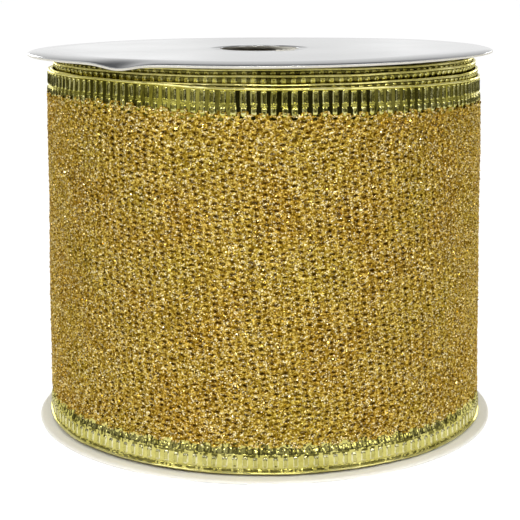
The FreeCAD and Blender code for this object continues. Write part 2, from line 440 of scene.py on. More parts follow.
def tape_material():
    m, nt, b = new_mat("clear_tape")
    co = objco(nt)
    n = noise(nt, co, 260.0, 4.0)
    nt.links.new(ramp(nt, n.outputs["Fac"], [(0.35, (0.86, 0.84, 0.74)), (0.65, (0.95, 0.94, 0.88))]), b.inputs["Base Color"])
    nt.links.new(ramp(nt, n.outputs["Fac"], [(0.35, (0.10,) * 3), (0.65, (0.22,) * 3)]), b.inputs["Roughness"])
    b.inputs["Alpha"].default_value = 0.17
    b.inputs["IOR"].default_value = 1.5
    b.inputs["Coat Weight"].default_value = 0.5
    b.inputs["Coat Roughness"].default_value = 0.08
    bump(nt, n.outputs["Fac"], 0.25, 0.00015, b)
    return m


TAPE = tape_material()

# ------------------------------------------------------------------ open mesh of the outermost turn
P_MM = math.radians(DPSI) * 38.75


def net_cells(cols, rows, open_net, seed, h0=WEB0):
    """Staggered cells of the knitted net. Returns psi, h, off, faces, strand vertex ids."""
    rng = np.random.default_rng(seed)
    a1 = P_MM / 2 - PZ * PZ / (8 * P_MM)
    a2 = P_MM / 2 + PZ * PZ / (8 * P_MM)
    hz = PZ / 2
    if open_net:
        t = [-1, -0.5, 0, 0.5]
        pts = [(a1 * k, -hz) for k in t] + [(a1, -hz), ((a1 + a2) / 2, -hz / 2), (a2, 0), ((a1 + a2) / 2, hz / 2)]
        pts += [(-a1 * k, hz) for k in t] + [(-a1, hz), (-(a1 + a2) / 2, hz / 2), (-a2, 0), (-(a1 + a2) / 2, -hz / 2)]
    else:
        pts = [(-a1, -hz), (-a1 / 3, -hz), (a1 / 3, -hz), (a1, -hz), (a2, 0),
               (a1, hz), (a1 / 3, hz), (-a1 / 3, hz), (-a1, hz), (-a2, 0)]
    pts = np.array(pts)
    n = len(pts)
    cols = np.asarray(cols)
    ci, rj = np.meshgrid(cols, np.arange(rows), indexing="ij")
    ci, rj = ci.ravel(), rj.ravel()
    cx = (ci + 0.5) * P_MM
    cz = h0 + (rj + 0.5 + 0.5 * (ci % 2)) * PZ - 0.25 * PZ
    bx = cx[:, None] + pts[None, :, 0]
    bz = cz[:, None] + pts[None, :, 1]
    key = np.stack([np.round(bx.ravel() * 500), np.round(bz.ravel() * 500)], -1).astype(np.int64)
    uk, first, inv = np.unique(key[:, 0] * 10000000 + key[:, 1], return_index=True, return_inverse=True)
    ux, uz = bx.ravel()[first], bz.ravel()[first]
    nb = len(ux)
    inv = inv.reshape(-1, n)
    # raised more where strands cross, between the columns
    colpos = (ux / P_MM) % 1.0
    cross = np.abs(np.abs(colpos - 0.5) - 0.5)
    # repeatable by place, so neighbouring pieces share their edge
    def hashn(x, z, k):
        v = np.sin(np.round(x * 40) * 12.9898 + np.round(z * 40) * 78.233 + k * 37.719) * 43758.5453
        return (v - np.floor(v)) * 2 - 1
    wx = 0.13 * np.sin(ux * 0.83 + 1.7 * np.sin(uz * 0.37)) + 0.09 * np.sin(uz * 1.9 + ux * 0.41)
    wz = 0.12 * np.sin(ux * 1.35 + uz * 0.27 + 0.8 * np.sin(ux * 0.21)) + 0.07 * np.sin(uz * 2.3 + ux * 0.9)
    jx = 0.055 * hashn(ux, uz, 1)
    jz = 0.055 * hashn(ux, uz, 2)
    boff = 0.13 + 0.07 * (1 - np.clip(cross * 3, 0, 1)) + 0.10 * hashn(ux, uz, 3)
    BX, BZ = ux + wx + jx, uz + wz + jz
    shut = rng.random(len(cx)) < 0.30
    ax = 0.44 * (0.58 + 0.52 * rng.random(len(cx))) * np.where(shut, 0.55, 1.0)
    az = 0.18 * (0.55 + 0.75 * rng.random(len(cx))) * np.where(shut, 0.45, 1.0)
    ox = 0.05 * rng.standard_normal(len(cx)) + 0.13 * np.sin(cx * 0.83 + 1.7 * np.sin(cz * 0.37)) + 0.09 * np.sin(cz * 1.9 + cx * 0.41)
    oz = 0.04 * rng.standard_normal(len(cx)) + 0.12 * np.sin(cx * 1.35 + cz * 0.27 + 0.8 * np.sin(cx * 0.21)) + 0.07 * np.sin(cz * 2.3 + cx * 0.9)
    th = np.arctan2(pts[:, 1] / hz, pts[:, 0] / a2)
    hx = (cx + ox)[:, None] + ax[:, None] * np.cos(th)[None]
    hh = (cz + oz)[:, None] + az[:, None] * np.sin(th)[None]
    hx = hx + 0.050 * rng.standard_normal(hx.shape)
    hh = hh + 0.036 * rng.standard_normal(hx.shape)
    m = len(cx)
    idx = np.arange(m * n).reshape(m, n)
    nxt = np.roll(np.arange(n), -1)
    verts_x, verts_h, verts_o, faces = [BX], [BZ], [boff], []
    if open_net:
        mx = 0.5 * (BX[inv] + hx) + 0.02 * rng.standard_normal(hx.shape)
        mh = 0.5 * (BZ[inv] + hh) + 0.02 * rng.standard_normal(hx.shape)
        mo = 0.5 * (boff[inv] - 0.02) + 0.05 + 0.105 * rng.standard_normal(hx.shape)
        wxx = (cx + ox)[:, None] + 0.93 * (hx - (cx + ox)[:, None])
        whh = (cz + oz)[:, None] + 0.90 * (hh - (cz + oz)[:, None])
        ring1, ring2, ring3 = nb + idx, nb + m * n + idx, nb + 2 * m * n + idx
        verts_x += [mx.ravel(), hx.ravel(), wxx.ravel()]
        verts_h += [mh.ravel(), hh.ravel(), whh.ravel()]
        verts_o += [mo.ravel(), np.full(m * n, -0.05) + 0.03 * rng.standard_normal(m * n), np.full(m * n, -0.19)]
        for a, b in ((inv, ring1), (ring1, ring2), (ring2, ring3)):
            faces.append(np.stack([a, b, b[:, nxt], a[:, nxt]], -1).reshape(-1, 4))
    else:
        ring1 = nb + idx
        centre = nb + m * n + np.arange(m)
        verts_x += [hx.ravel(), cx + ox]
        verts_h += [hh.ravel(), cz + oz]
        verts_o += [np.full(m * n, -0.04) + 0.05 * rng.standard_normal(m * n), np.full(m, -0.12)]
        faces.append(np.stack([inv, ring1, ring1[:, nxt], inv[:, nxt]], -1).reshape(-1, 4))
        faces.append(np.stack([ring1, np.repeat(centre[:, None], n, 1), ring1[:, nxt]], -1).reshape(-1, 3))
    X, Hh, O = (np.concatenate(v) for v in (verts_x, verts_h, verts_o))
    return X, Hh, O, faces, nb


def net_piece(name, c0, c1, open_net, mats, seed, h0=WEB0):
    X, Hh, O, faces, nb = net_cells(np.arange(c0, c1), ROWS, open_net, seed, h0)
    psi = X / P_MM * DPSI
    psi = psi + lean(psi, Hh)
    if open_net:
        Hh = web_shift(psi, Hh)
    co = place(psi, Hh, O if open_net else O + 0.30)      # the turn beneath presses up against the outer one
    return add_mesh(name, co, faces, mats, uv=cyl_uv(co))


TONES = np.array([[1.00, 0.91, 0.56], [0.99, 0.83, 0.36], [0.84, 0.60, 0.12], [0.95, 0.75, 0.24], [0.58, 0.37, 0.03], [1.0, 0.97, 0.84]])


def glitter(name, psi0, psi1, density, seed, off0=0.19, h0=4.0, h1=57.6):
    rng = np.random.default_rng(seed)
    n = int(density * math.radians(psi1 - psi0) * 38.7 * (h1 - h0))
    psi = psi0 + (psi1 - psi0) * rng.random(n)
    h = h0 + (h1 - h0) * rng.random(n)
    # only where there is yarn: not over the middle of a cell's hole
    x = psi / DPSI * P_MM
    ci = np.floor(x / P_MM).astype(int)
    z = (h - WEB0 + 0.25 * PZ - 0.5 * PZ * (ci % 2)) / PZ
    dz = (z - np.floor(z) - 0.5) * PZ
    dx = x - (ci + 0.5) * P_MM
    keep = (dx / 0.46) ** 2 + (dz / 0.24) ** 2 > 1.0
    psi, h = psi[keep], h[keep]
    psi = psi + lean(psi, h)
    if psi1 <= 360.0:
        h = web_shift(psi, h)
    n = len(psi)
    c = place(psi, h, off0 + 0.05 * rng.random(n) - 0.05 * rng.random(n))
    phi = np.radians(PHI_END - psi)
    nr = np.stack([np.cos(phi), np.sin(phi), np.zeros(n)], -1)
    tilt = np.radians(28.0) * rng.standard_normal((n, 2))
    t1 = np.stack([-np.sin(phi), np.cos(phi), np.zeros(n)], -1)
    t2 = np.tile([0.0, 0.0, 1.0], (n, 1))
    nn = nr + t1 * np.tan(np.clip(tilt[:, :1], -1.1, 1.1)) + t2 * np.tan(np.clip(tilt[:, 1:], -1.1, 1.1))
    nn /= np.linalg.norm(nn, axis=1)[:, None]
    a = 0.55 * rng.standard_normal(n)
    u = t1 * np.cos(a)[:, None] + t2 * np.sin(a)[:, None]
    u = u - nn * (u * nn).sum(1)[:, None]
    u /= np.linalg.norm(u, axis=1)[:, None]
    v = np.cross(nn, u)
    s = (0.065 + 0.065 * rng.random(n) + 0.09 * (rng.random(n) < 0.16))[:, None]
    k = (0.45 + 0.5 * rng.random(n))[:, None]
    quad = np.stack([c - u * s, c - v * s * k, c + u * s, c + v * s * k], 1).reshape(-1, 3)
    faces = np.arange(4 * n).reshape(-1, 4)
    tone = TONES[rng.choice(len(TONES), n, p=[0.18, 0.22, 0.22, 0.22, 0.12, 0.04])]
    attr = np.repeat(np.concatenate([tone, np.ones((n, 1))], 1), 4, 0)
    return add_mesh(name, quad, faces, [FLAKE], smooth=False, uv=cyl_uv(quad), attr=attr)


# ------------------------------------------------------------------ foil selvedge
HEM = np.array([(-0.06, 1.5), (-0.16, 0.95), (-0.24, 0.58), (-0.25, 0.37), (-0.21, 0.18), (-0.12, 0.045),
                (0.0, 0.0), (0.12, 0.03), (0.21, 0.11), (0.25, 0.215), (0.22, 0.32), (0.11, 0.385)])
BAR_H = np.array([0.415, 0.45, 0.50, 0.57, 0.66, 0.80, 1.00, 1.30, 1.60, 1.90, 2.18, 2.38, 2.50, 2.59, 2.67, 2.73, 2.79, 2.84, 2.89,
                  2.95, 3.03, 3.13, 3.26, 3.45, 3.65, 3.90, 4.10, 4.28, 4.50, 4.80, 5.10])
DROP = 0.36           # the bottom selvedge's bars stand this much further from its hem
BAR_HB = np.concatenate([[0.415, 0.50, 0.60, 0.68, 0.75, 0.80, 0.86, 0.93, 1.02], BAR_H[5:-1] + DROP, [5.35, 5.60]])


def rrect(u, v, hw, hh, rad):
    qx = np.abs(u) - (hw - rad)
    qz = np.abs(v) - (hh - rad)
    return np.hypot(np.maximum(qx, 0), np.maximum(qz, 0)) + np.minimum(np.maximum(qx, qz), 0) - rad


def band_relief(col, u, h, seed, crinkle, bottom):
    """Raised height of the foil: two rows of embossed oblong bars and a thread line."""
    def hs(c, k):
        v = np.sin(c * 12.9898 + k * 78.233 + seed * 3.17) * 43758.5453
        return (v - np.floor(v)) * 2 - 1
    hw = 0.44 + 0.035 * hs(col, 1)
    du = 0.07 * hs(col, 2) + 0.05 * hs(col, 7) * (h - 1.75)
    h_true = h
    if bottom:
        h = h - DROP
        mid, half, mid2, thread = 1.58, 0.86, 3.22, 2.54
    else:
        mid, half, mid2, thread = 1.58, 1.11, 3.60, 2.84
    d1 = rrect(u - du, h - (mid + 0.04 * hs(col, 3)), hw, half + 0.04 * hs(col, 4), 0.30)
    up = smooth01(-d1 / 0.16)
    dish = smooth01((-d1 - 0.15) / 0.14)
    z = (0.25 + 0.03 * hs(col, 5)) * up - (0.11 + 0.04 * hs(col, 6)) * dish
    d2 = rrect(u - 0.12 * hs(col, 8), h - (mid2 + 0.08 * hs(col, 9)), 0.42 + 0.08 * hs(col, 10), 0.50 if bottom else 0.58, 0.26)
    z = z + (0.13 if bottom else 0.20) * (1.0 + 0.35 * hs(col, 11)) * smooth01(-d2 / 0.16) - 0.08 * smooth01((-d2 - 0.14) / 0.12)
    z = z + (0.05 + 0.03 * hs(col, 13)) * np.exp(-((h - thread) / 0.05) ** 2) * smooth01((0.52 - np.abs(u - du)) / 0.12)
    s = (col + 0.5) * P_MM + u
    wob = np.sin(s * 3.1 + seed) * np.sin(h * 3.7 + 0.6 * np.sin(s * 1.3)) + 0.7 * np.sin(s * 7.3 + h * 5.1 + seed) * np.sin(h * 8.3 - s * 2.0)
    z = z + crinkle * wob * (0.006 + 0.030 * smooth01((h - 3.0) / 0.5)) * (0.3 + 0.7 * np.maximum(up, smooth01(-d2 / 0.16)))
    if bottom:
        z = z + (0.06 - 0.17 * smooth01((np.abs(u) - 0.34) / 0.12) + 0.03 * hs(col, 12)) * np.exp(-((h_true - 0.84) / 0.085) ** 2)
        z = z - 0.26 * smooth01((h - 2.75) / 1.3)
        z = z + (0.06 * np.sin(s * 5.3 + 1.7 * np.sin(s * 1.1)) * np.sin(h * 5.7 + 0.9 * np.sin(s * 2.7)) + 0.05 * np.sin(s * 9.1 + 2.2 * np.sin(h * 3.1)) * np.sin(h * 9.3 + 1.4 * np.sin(s * 4.1))) * smooth01((h - 3.1) / 0.5)
    return z, (up if bottom else np.maximum(up, smooth01(-d2 / 0.16)))


def band_piece(name, c0, c1, per, bottom, mats, seed, crinkle=1.0, rows=None):
    hh = (BAR_HB if bottom else BAR_H) if rows is None else rows
    ns = (c1 - c0) * per + 1
    x = c0 * P_MM + np.arange(ns) * (P_MM / per)
    col = np.minimum(np.floor(x / P_MM + 1e-6), c1 - 1)
    u = x - (col + 0.5) * P_MM
    path_o = np.concatenate([HEM[:, 0], np.zeros(len(hh))])
    path_h = np.concatenate([HEM[:, 1], hh])
    X, Hh = np.meshgrid(x, path_h, indexing="ij")
    O = np.tile(path_o, (ns, 1))
    front = np.arange(len(path_h)) >= len(HEM)
    rel, bars = band_relief(np.tile(col[:, None], (1, len(hh))), np.tile(u[:, None], (1, len(hh))), X[:, front] * 0 + hh[None, :], seed, crinkle, bottom)
    O[:, front] += rel
    onbar = np.zeros_like(O)
    onbar[:, front] = bars
    hem_w = 0.02 * np.sin(x * 1.9 + seed)[:, None]
    O[:, ~front] += hem_w
    psi = X / P_MM * DPSI
    if bottom:
        Hh = WIDTH - Hh
    co = place(psi, Hh, O).reshape(-1, 3)
    f = grid_faces(ns, len(path_h))
    if bottom:
        f = f[:, ::-1]
    # slot 1 on the bars, slot 2 on their outlines, slot 0 in the gaps: the callers put darker and lighter copies of one
    # foil here, painted shade and painted highlight
    tone = onbar.ravel()[f].mean(1)
    mi = np.where(tone > 0.80, 1, np.where(tone > 0.20, 2, 0))
    # the rolled hem takes slot 3, a lighter foil copy as painted highlight, and the creases between the rows take a
    # darker slot as painted shade
    jf = np.tile(np.arange(len(path_h) - 1), ns - 1)
    hf = np.tile(0.5 * (path_h[1:] + path_h[:-1]), ns - 1)
    uf = np.repeat(0.5 * (x[1:] + x[:-1]), len(path_h) - 1)
    cf = np.floor(uf / P_MM)
    uf = uf - (cf + 0.5) * P_MM

    def hs(c, k):
        v = np.sin(c * 12.9898 + k * 78.233 + seed * 3.17) * 43758.5453
        return (v - np.floor(v)) * 2 - 1
    on = jf >= len(HEM)
    if bottom:
        cell = cf * 5 + np.floor((uf + 0.81) / 0.33)
        hp = hf - DROP
        wave = hs(cell, 3) + 0.5 * hs(cf, 5)
        # painted shade: the dark foil copy in the notch above the hem and in patches where the second row meets the
        # mesh
        mi = np.where(on & (hf > 0.44) & (hf < 0.78 + 0.06 * hs(cell, 6)) & (hs(cell, 2) > -0.45), 4, mi)
        mi = np.where(on & (hp > 2.50 + 0.10 * hs(cell, 7)) & (hp < 3.00 + 0.25 * hs(cell, 8)) & (wave > -0.22), 4, mi)
        mi = np.where(on & (hp >= 3.00) & (hs(cell, 9) > 0.42), 4, mi)
    else:
        # painted shade: the darker bar copy in the crease between the two rows
        mi = np.where(on & (hf > 2.50) & (hf < 3.12) & (mi == 2), 1, mi)
        mi = np.where(on & (hf > 2.60) & (hf < 3.05) & (np.abs(uf) < 0.5), 1, mi)
    mi = np.where(~on, 3, mi)
    return add_mesh(name, co, f, mats, mat_index=mi, uv=cyl_uv(co))


def tube(psi, h, r, sides, name, mats):
    """A round wire along the hem."""
    c = place(psi, np.full_like(psi, h) if np.isscalar(h) else h, np.zeros_like(psi))
    phi = np.radians(PHI_END - psi)
    er = np.stack([np.cos(phi), np.sin(phi), np.zeros_like(phi)], -1)
    a = np.arange(sides) / sides * 2 * math.pi
    co = c[:, None] + r * (np.cos(a)[None, :, None] * er[:, None] + np.sin(a)[None, :, None] * np.array([0, 0, 1.0]))
    n = len(psi)
    i, j = np.meshgrid(np.arange(n - 1), np.arange(sides), indexing="ij")
    j2 = (j + 1) % sides
    f = np.stack([i * sides + j, (i + 1) * sides + j, (i + 1) * sides + j2, i * sides + j2], -1).reshape(-1, 4)
    co = co.reshape(-1, 3)
    caps = np.array([np.arange(sides)[::-1], (n - 1) * sides + np.arange(sides)])
    return add_mesh(name, co, [f, caps], mats, uv=cyl_uv(co))


# ------------------------------------------------------------------ build the ribbon
T3, T2, T1 = 16, 26, 36          # columns where the tail's pieces meet: end, middle, root
tail_parts = {"tail_end": (0, T3), "tail_middle": (T3, T2), "tail_root": (T2, T1)}


def bend(ob):
    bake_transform(ob)


fixed = []
cuts = [T1, 65, 93, 122, 150]
for k in range(4):
    ob = net_piece("outer_winding_mesh_%d" % (k + 1), cuts[k], cuts[k + 1], True, [YARN], 100)
    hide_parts("outer_winding_mesh")
    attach(ob, "spool")
    g = glitter("outer_winding_glitter_%d" % (k + 1), cuts[k] * DPSI, cuts[k + 1] * DPSI, 7.0, 200 + k)
    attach(g, "spool")
for k, (c0, c1) in enumerate(((150, 225), (225, 300))):
    # the second turn's net in the lighter yarn copy: painted light
    ob = net_piece("second_winding_mesh_%d" % (k + 1), c0, c1, False, [YARN_IN_PAINTED_LIGHT], 110)
    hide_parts("second_winding_mesh")
    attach(ob, "spool")
g = glitter("second_winding_glitter", 360, 720, 1.4, 231, off0=0.42)
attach(g, "spool")

for part, (c0, c1) in tail_parts.items():
    web = net_piece(part + "_web", c0, c1, True, [YARN], 100)
    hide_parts(part + "_mesh")
    gl = glitter(part + "_glitter", c0 * DPSI, c1 * DPSI, 7.0, 260 + c0)
    tb = band_piece(part + "_foil_top", c0, c1, 16, False, [FOIL, BAR_PAINTED_SHADE, EDGE_PAINTED_HIGHLIGHT, RIM_PAINTED_HIGHLIGHT, FOIL_PAINTED_SHADE], 1)
    bb = band_piece(part + "_foil_bottom", c0, c1, 16, True, [FOIL_LOW_PAINTED_LIGHT, BAR_LOW_PAINTED_SHADE, EDGE_LOW_PAINTED_HIGHLIGHT, RIM_PAINTED_HIGHLIGHT, FOIL_PAINTED_SHADE], 2, 1.5)
    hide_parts(part + "_top_band")
    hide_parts(part + "_bottom_band")
    p = np.linspace(c0 * DPSI, c1 * DPSI, (c1 - c0) * 3 + 1)
    tw = tube(p, 0.215, 0.16, 8, part + "_wire_top", [WIRE])
    bw = tube(p, WIDTH - 0.215, 0.16, 8, part + "_wire_bottom", [WIRE])
    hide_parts(part + "_top_wire")
    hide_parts(part + "_bottom_wire")
    for o in (web, gl, tb, bb, tw, bw):
        bend(o)

# the second and third turns' top bands put the dark foil copy in slot 0, the gaps between their bars: painted shade
for label, nodes, c0, c1, per, mat, seed in (
        ("outer_winding", "outer_winding", T1, 150, 16, [FOIL, BAR_PAINTED_SHADE, EDGE_PAINTED_HIGHLIGHT, RIM_PAINTED_HIGHLIGHT, FOIL_PAINTED_SHADE], 1),
        ("second_winding", "second_winding", 150, 300, 12, [FOIL_PAINTED_SHADE, BAR_IN_PAINTED_LIGHT, EDGE_PAINTED_HIGHLIGHT, RIM_PAINTED_HIGHLIGHT, FOIL_PAINTED_SHADE], 4),
        ("third_winding", "third_winding", 300, 450, 12, [FOIL_PAINTED_SHADE, BAR_IN_PAINTED_LIGHT, EDGE_PAINTED_HIGHLIGHT, RIM_PAINTED_HIGHLIGHT, FOIL_PAINTED_SHADE], 6)):
    tb = band_piece(label + "_foil_top", c0, c1, per, False, mat, seed)
    bb = band_piece(label + "_foil_bottom", c0, c1, per if c0 < 300 else 6, True, [FOIL_LOW_PAINTED_LIGHT, BAR_LOW_PAINTED_SHADE, EDGE_LOW_PAINTED_HIGHLIGHT, RIM_PAINTED_HIGHLIGHT, FOIL_PAINTED_SHADE], seed + 1, 1.5)
    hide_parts(nodes + "_top_band")
    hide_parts(nodes + "_bottom_band")
    p = np.linspace(c0 * DPSI, c1 * DPSI, (c1 - c0) * 2 + 1)
    tw = tube(p, 0.215, 0.16, 6, label + "_wire_top", [WIRE])
    bw = tube(p, WIDTH - 0.215, 0.16, 6, label + "_wire_bottom", [WIRE])
    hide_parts(nodes + "_top_wire")
    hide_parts(nodes + "_bottom_wire")
    for o, s in ((tb, "foil_band"), (bb, "foil_band"), (tw, "edge_wire"), (bw, "edge_wire")):
        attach(o, "spool")


def plain_web(name, psi0, psi1, step, mat, h0=3.9, h1=58.4, nh=56):
    p = np.arange(psi0, psi1 + 0.01, step)
    h = np.linspace(h0, h1, nh)
    Pm, Hm = np.meshgrid(p, h, indexing="ij")
    off = 0.05 * np.sin(Pm * 2.6) * np.sin(Hm * 3.2)
    co = place(Pm, Hm, off).reshape(-1, 3)
    return add_mesh(name, co, grid_faces(len(p), nh), [mat], uv=cyl_uv(co))


# the third turn's net in the darker yarn copy: painted shade
c = plain_web("third_winding_web", 720, 1080, 1.2, YARN_DEEP_PAINTED_SHADE)
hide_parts("third_winding_mesh")
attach(c, "spool")

# the ten inner turns, wound in one spiral down to the core
P_IN0, P_IN1 = 1080.0, 1080.0 + 3600.0
p = np.arange(P_IN0, P_IN1 + 0.1, 4.0)
h = np.array([3.9, 12, 22, 31, 40, 50, 58.4])
Pm, Hm = np.meshgrid(p, h, indexing="ij")
co = place(Pm, Hm, 0.04 * np.sin(Pm * 1.7)).reshape(-1, 3)
# the inner turns' net in the darker yarn copy: painted shade
w_in = add_mesh("inner_windings_web", co, grid_faces(len(p), len(h)), [YARN_DEEP_PAINTED_SHADE], uv=cyl_uv(co))
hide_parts("inner_windings_mesh")
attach(w_in, "spool")
# the inner turns' top band puts the dark foil copy in the gaps between its bars: painted shade
fine = band_piece("inner_windings_foil_top", 450, 600, 12, False, [FOIL_PAINTED_SHADE, BAR_IN_PAINTED_LIGHT, EDGE_PAINTED_HIGHLIGHT, RIM_PAINTED_HIGHLIGHT, FOIL_PAINTED_SHADE], 9)
fine_b = band_piece("inner_windings_foil_bottom", 450, 600, 4, True, [FOIL_IN_PAINTED_LIGHT, BAR_IN_PAINTED_LIGHT, EDGE_PAINTED_HIGHLIGHT, RIM_PAINTED_HIGHLIGHT, FOIL_PAINTED_SHADE], 10)
rough_rows = np.array([0.45, 1.0, 1.8, 2.8, 3.4, 4.5])
deep = band_piece("inner_turns_foil_top", 600, 1950, 2, False, [FOIL_IN_PAINTED_LIGHT, BAR_IN_PAINTED_LIGHT, EDGE_PAINTED_HIGHLIGHT, RIM_PAINTED_HIGHLIGHT, FOIL_PAINTED_SHADE], 11, 0.0, rough_rows)
deep_b = band_piece("inner_turns_foil_bottom", 600, 1950, 2, True, [FOIL_IN_PAINTED_LIGHT, BAR_IN_PAINTED_LIGHT, EDGE_PAINTED_HIGHLIGHT, RIM_PAINTED_HIGHLIGHT, FOIL_PAINTED_SHADE], 12, 0.0, rough_rows)
tw = tube(p, 0.215, 0.16, 6, "inner_windings_wire_top", [WIRE])
bw = tube(p, WIDTH - 0.215, 0.16, 6, "inner_windings_wire_bottom", [WIRE])
for o, n_, s in ((fine, "inner_windings_top_band", "foil_band"), (deep, "inner_windings_top_band", "foil_band"),
                 (fine_b, "inner_windings_bottom_band", "foil_band"), (deep_b, "inner_windings_bottom_band", "foil_band"),
                 (tw, "inner_windings_top_wire", "edge_wire"), (bw, "inner_windings_bottom_wire", "edge_wire")):
    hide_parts(n_)
    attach(o, "spool")

# ------------------------------------------------------------------ round card ends
DENT = math.radians(-123.2)


def dent(x, y, depth=0.76):
    a = np.arctan2(y, x)
    r = np.hypot(x, y)
    ds = ((a - DENT + math.pi) % (2 * math.pi) - math.pi) * FL_R
    return depth * np.exp(-(ds / 3.9) ** 2) * smooth01((r - 37.2) / 4.0)


def flange(name, profile, mat, cx, hole_cx, rim, warp, seg=240, undercut=0.0):
    """profile: list of (t, z) where t is 0 at the hole edge and 1 at the rim, plus mm offsets."""
    a = np.arange(seg) / seg * 2 * math.pi
    co = []
    for (t, dr, z) in profile:
        hx, hy = hole_cx + HOLE_R * np.cos(a), HOLE_R * np.sin(a)
        rx, ry = cx + rim * np.cos(a), rim * np.sin(a)
        if t == 0.0:
            dr = dr + undercut * smooth01((TOP_Z - 0.1 - z) / 0.35) * smooth01(0.5 - 0.9 * np.cos(a + 0.35))
        x = hx + (rx - hx) * t + dr * np.cos(a)
        y = hy + (ry - hy) * t + dr * np.sin(a)
        co.append(np.stack([x, y, np.full(seg, z) + warp(x, y)], -1))
    k = len(co)
    co = np.stack(co, 1).reshape(-1, 3)
    i, j = np.meshgrid(np.arange(seg), np.arange(k), indexing="ij")
    i2, j2 = (i + 1) % seg, (j + 1) % k
    f = np.stack([i * k + j, i2 * k + j, i2 * k + j2, i * k + j2], -1).reshape(-1, 4)
    return add_mesh(name, co, f, [mat])


def top_warp(x, y):
    """The end sits a little askew: up at the front, down at the back."""
    a = np.arctan2(x, -y)
    r = np.hypot(x, y) / 41.0
    w = 0.12 + 0.40 * np.cos(a) + 0.15 * np.sin(a) - 0.08 * np.cos(2 * a)
    return w * r * smooth01((r - 0.1) / 0.3) - dent(x, y) + 0.05 * np.sin(x * 0.11 + 0.6) * np.cos(y * 0.09) * smooth01((r * 41 - 10) / 20)


def bot_warp(x, y):
    return 0.0 * x


TS = [0.0, 0.06, 0.14, 0.25, 0.38, 0.5, 0.6, 0.68, 0.74, 0.80, 0.85, 0.89, 0.925, 0.945]
zt, zf = TOP_Z, TOP_Z - 0.1
film_top = [(0.0, 0.02, zt - 0.10), (0.0, 0.10, zt)] + [(t, 0, zt) for t in TS[1:-3]] + \
           [(1, -5.0, zt - 0.002), (1, -4.2, zt - 0.013), (1, -3.3, zt - 0.032), (1, -2.4, zt - 0.062), (1, -1.7, zt - 0.097), (1, -1.15, zt - 0.142),
            (1, -0.78, zt - 0.187), (1, -0.52, zt - 0.237), (1, -0.33, zt - 0.287), (1, -0.19, zt - 0.337), (1, -0.09, zt - 0.387), (1, -0.03, zt - 0.43)]
film_under = [(1, -0.12, zt - 0.44), (1, -0.18, zt - 0.405), (1, -0.28, zt - 0.365), (1, -0.42, zt - 0.32), (1, -0.62, zt - 0.27), (1, -0.95, zt - 0.225),
              (1, -1.5, zt - 0.18), (1, -2.4, zt - 0.135), (1, -3.8, zt - 0.11)] + \
             [(t, 0, zf) for t in TS[-4:0:-1]]
film = flange("top_flange_gloss", film_top + film_under, FILM, -0.45, -0.55, FL_R - 0.4, top_warp)
card_top = [(0.0, 0.03, zf - 0.02), (0.0, 0.14, zf - 0.004)] + [(t, 0, zf - 0.004) for t in TS[1:-3]] + \
           [(1, -3.9, zt - 0.12), (1, -2.5, zt - 0.145), (1, -1.55, zt - 0.19), (1, -0.98, zt - 0.235), (1, -0.65, zt - 0.28), (1, -0.44, zt - 0.33), (1, -0.29, zt - 0.375),
            (1, -0.13, zt - 0.45), (1, -0.02, zt - 0.455), (1, 0.0, zt - 0.51), (1, -0.02, TOP_UNDER + 0.08), (1, -0.12, TOP_UNDER)]
card_under = [(t, 0, TOP_UNDER) for t in TS[:0:-1]] + [(0.0, 0.12, TOP_UNDER), (0.0, 0.0, TOP_UNDER + 0.08), (0.0, -0.02, TOP_UNDER + 0.3)]
card = flange("top_flange_board", card_top + card_under, CARD, -0.45, -0.55, FL_R - 0.4, top_warp, undercut=1.6)
card.data.materials.append(CUT)
# the rim's and the hole's cut walls show the raw board
prof = card_top + card_under
kk = len(prof)
walls = set(range(len(card_top) - 5, len(card_top) - 1)) | {kk - 3, kk - 2, kk - 1, 0}
for poly in card.data.polygons:
    if min(v % kk for v in poly.vertices) in walls or (max(v % kk for v in poly.vertices) == kk - 1 and min(v % kk for v in poly.vertices) == 0):
        poly.material_index = 1
zb = BOT_UPPER
bcard_prof = [(0.0, 0.12, zb)] + [(t, 0, zb) for t in TS[1:]] + [(1, -0.45, zb - 0.01), (1, -0.25, zb - 0.05), (1, -0.08, zb - 0.16), (1, 0.0, zb - 0.3), (1, -0.02, 0.32), (1, -0.08, 0.18), (1, -0.3, 0.112)] + \
             [(t, 0, 0.104) for t in TS[:0:-1]] + [(0.0, 0.12, 0.104), (0.0, 0.0, 0.2), (0.0, -0.01, 0.6)]
bcard = flange("bottom_flange_board", bcard_prof, CARD, 0.17, 0.2, FL_R + 0.2, bot_warp)
bfilm_prof = [(0.0, 0.03, 0.10), (0.0, 0.10, 0.0)] + [(t, 0, 0.0) for t in TS[1:]] + [(1, -0.5, 0.004), (1, -0.3, 0.03), (1, -0.12, 0.12), (1, -0.03, 0.26)] + \
             [(1, -0.09, 0.25), (1, -0.18, 0.16), (1, -0.36, 0.103)] + [(t, 0, 0.100) for t in TS[:0:-1]]
bfilm = flange("bottom_flange_gloss", bfilm_prof, FILM, 0.17, 0.2, FL_R + 0.2, bot_warp)
for o, n_, s in ((film, "top_flange_film", "gloss_film"), (card, "top_flange_card", "card_white"),
                 (bcard, "bottom_flange_card", "card_white"), (bfilm, "bottom_flange_film", "gloss_film")):
    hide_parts(n_)
    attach(o, "spool")

# torn paper burr at the edge of the punched hole
bu = []
for i in range(9):
    for j in range(3):
        ang = math.radians(-14 + 5.0 * i)
        rr = HOLE_R - (0.0, 0.30, 0.55)[j] * (0.6 + 0.4 * math.sin(i * 1.9 + j))
        bu.append((-0.55 + rr * math.cos(ang - 0.9), rr * math.sin(ang - 0.9), TOP_Z - 0.02 + (0.0, 0.12, 0.05)[j] * (1 + 0.5 * math.sin(i * 2.7))))
burr = add_mesh("hole_paper_burr", np.array(bu), grid_faces(9, 3), [CUT])
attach(burr, "spool")

